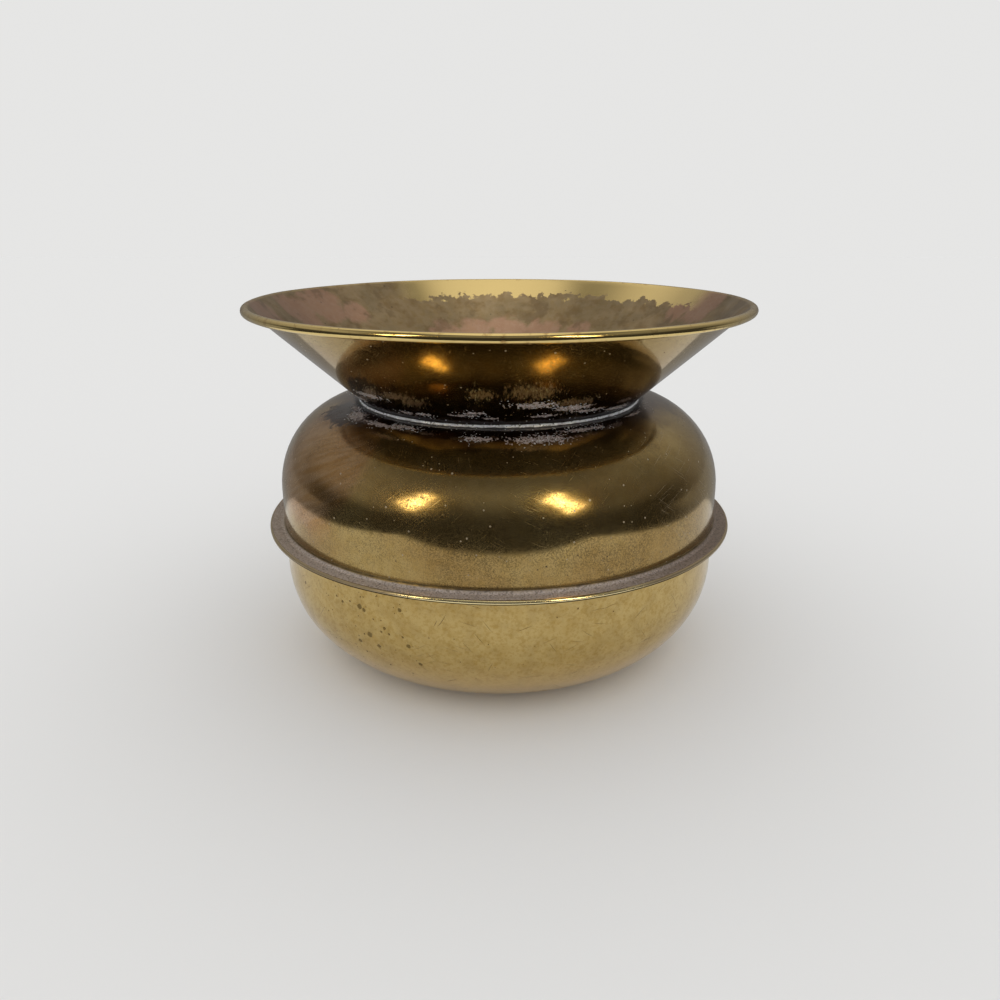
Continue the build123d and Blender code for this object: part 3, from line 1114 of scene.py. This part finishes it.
# Walls of the room by light at shares of the way up, and lamps by azimuth, elevation, reach and light.
wall_tint_shares = (1.0, 0.965, 0.92)
front_wall = (
    (0.0, 0.03), (0.14, 0.035), (0.29, 0.05), (0.42, 0.10), (0.55, 0.19), (0.69, 0.26), (0.82, 0.18),
    (0.90, 0.13), (0.935, 0.20), (0.97, 0.90), (1.0, 1.0),
)
left_wall = ((0.0, 0.05), (0.14, 0.06), (0.30, 0.32), (0.50, 0.44), (0.90, 0.50), (1.0, 1.0))
right_wall = ((0.0, 0.04), (0.15, 0.05), (0.32, 0.18), (0.85, 0.24), (1.0, 1.0))
back_wall = ((0.0, 0.24), (0.30, 0.32), (0.65, 0.50), (0.82, 0.95), (1.0, 1.0))
side_wall_shares = (0.60, 0.95)
back_wall_shares = (0.05, 0.60)
lamp_tint_shares = (1.0, 0.86, 0.58)
lamp_core_share = 0.6
lamps = (
    (-45, 28, 18, 0.20), (35, 31, 20, 0.19), (-45, 28, 8.5, 0.9), (35, 31, 9.5, 0.9),
    (-45, 28, 5.6, 10.0), (-50, 25, 4.0, 8.0), (-42, 36, 4.6, 8.0), (-46, 21, 4.0, 6.0),
    (29, 36, 4.2, 8.0), (35, 31, 5.4, 10.0), (41, 26, 4.2, 8.0), (34, 40, 4.6, 8.0), (36, 22, 4.0, 6.0),
)

world = bpy.data.worlds.new("studio")
bpy.context.scene.world = world
world.use_nodes = True
room = world.node_tree
ray = make_node(room, "ShaderNodeLightPath").outputs
direction = feed(room, "TexCoord", out="Generated")
facing = parted(room, direction)


def tinted(light, shares):
    """Colour of a light that has the given share of it in red, green and blue."""
    return (*(light * share for share in shares), 1)


def mixed(mask, a, b):
    return feed(room, "Mix", {0: mask, 6: a, 7: b}, 2, data_type="RGBA")


def wall(stops):
    """Light of one side of the room, from the table's level to straight overhead."""
    made = make_node(room, "ShaderNodeValToRGB", {0: facing["Z"]})
    elements = made.color_ramp.elements
    while len(elements) < len(stops):
        elements.new(0.5)
    for element, (height, light) in zip(elements, stops):
        element.position = height
        element.color = tinted(light, wall_tint_shares)
    return made.outputs[0]


def toward(azimuth, elevation):
    """Direction into the room by azimuth, from the camera's side to the right, and elevation."""
    a, e = radians(azimuth), radians(elevation)
    return (sin(a) * cos(e), -cos(a) * cos(e), sin(e))


picture = wall(front_wall)
to_left = calculate(room, "MULTIPLY", facing["X"], -1.0)
picture = mixed(smooth_step(room, to_left, *side_wall_shares), picture, wall(left_wall))
picture = mixed(smooth_step(room, facing["X"], *side_wall_shares), picture, wall(right_wall))
picture = mixed(smooth_step(room, facing["Y"], *back_wall_shares), picture, wall(back_wall))
for azimuth, elevation, reach, light in lamps:
    beam = calculate_vector(room, "DOT_PRODUCT", direction, toward(azimuth, elevation), out="Value")
    glow = smooth_step(room, beam, cos(radians(reach)), cos(radians(reach * lamp_core_share)))
    picture = mixed(glow, picture, tinted(light, lamp_tint_shares))
seen = mixed(ray["Is Glossy Ray"], (dome_light, dome_light, dome_light, 1), picture)
seen = mixed(ray["Is Camera Ray"], seen, tinted(dome_light, table_colour))
room.links.new(seen, room.nodes["Background"].inputs["Color"])

camera_distance = 265.86 * mm
camera_height = 135.48 * mm
camera_tilt = radians(18.98)
nearest_seen = 10 * mm
camera = bpy.data.objects.new("camera", bpy.data.cameras.new("camera"))
bpy.context.scene.collection.objects.link(camera)
camera.location = (0, -camera_distance, camera_height)
camera.rotation_euler = (pi / 2 - camera_tilt, 0, 0)
camera.data.sensor_width = 36
camera.data.lens = 30.83
camera.data.shift_x = 0.001
camera.data.clip_start = nearest_seen
bpy.context.scene.camera = camera
bpy.context.scene.view_settings.view_transform = "Standard"
